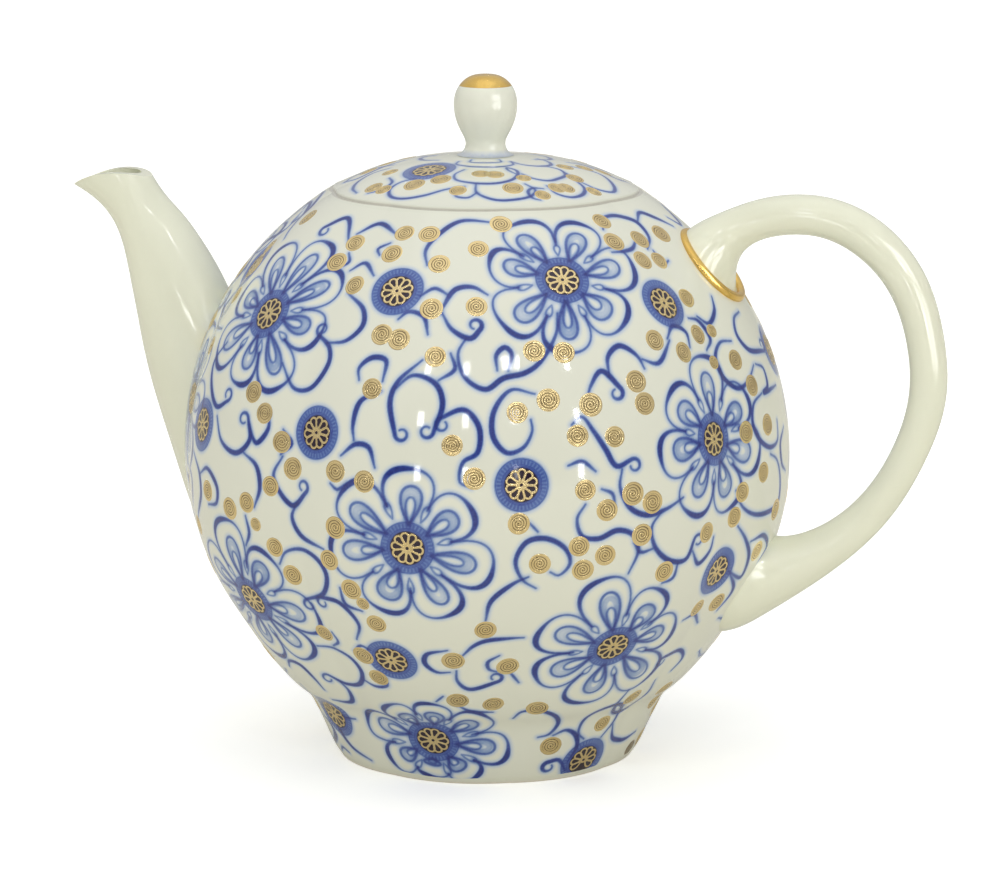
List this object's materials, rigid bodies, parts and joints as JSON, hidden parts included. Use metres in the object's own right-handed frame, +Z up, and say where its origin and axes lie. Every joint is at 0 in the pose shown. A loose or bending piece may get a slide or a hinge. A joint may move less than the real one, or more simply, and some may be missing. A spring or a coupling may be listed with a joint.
{
  "type": "teapot",
  "caption": "Round lobed porcelain teapot with a curved spout, loop handle and lift-off lid, painted with cobalt blue flowers and gold.",
  "frame": {"origin": "centre of the foot's resting plane, on the pot's axis", "axes": "+X towards the handle, the spout is on -X, +Z up towards the knob"},
  "size_m": [0.2628, 0.1792, 0.2002],
  "materials": {
    "porcelain": "clear gloss glaze",
    "gold": "burnished gold"
  },
  "bodies": {
    "pot": {"body_shell": "porcelain", "foot_ring": "porcelain", "spout": "porcelain", "handle": "porcelain", "handle_gold_ring": "gold"},
    "lid": {"lid_dome": "porcelain", "lid_flange": "porcelain", "lid_knob": "porcelain", "knob_gold_cap": "gold"}
  },
  "joints": [
    {"name": "lid_lift", "type": "slide", "parent": "pot", "child": "lid", "axis": [0, 0, 1], "range_m": [0, 0.06]}
  ]
}
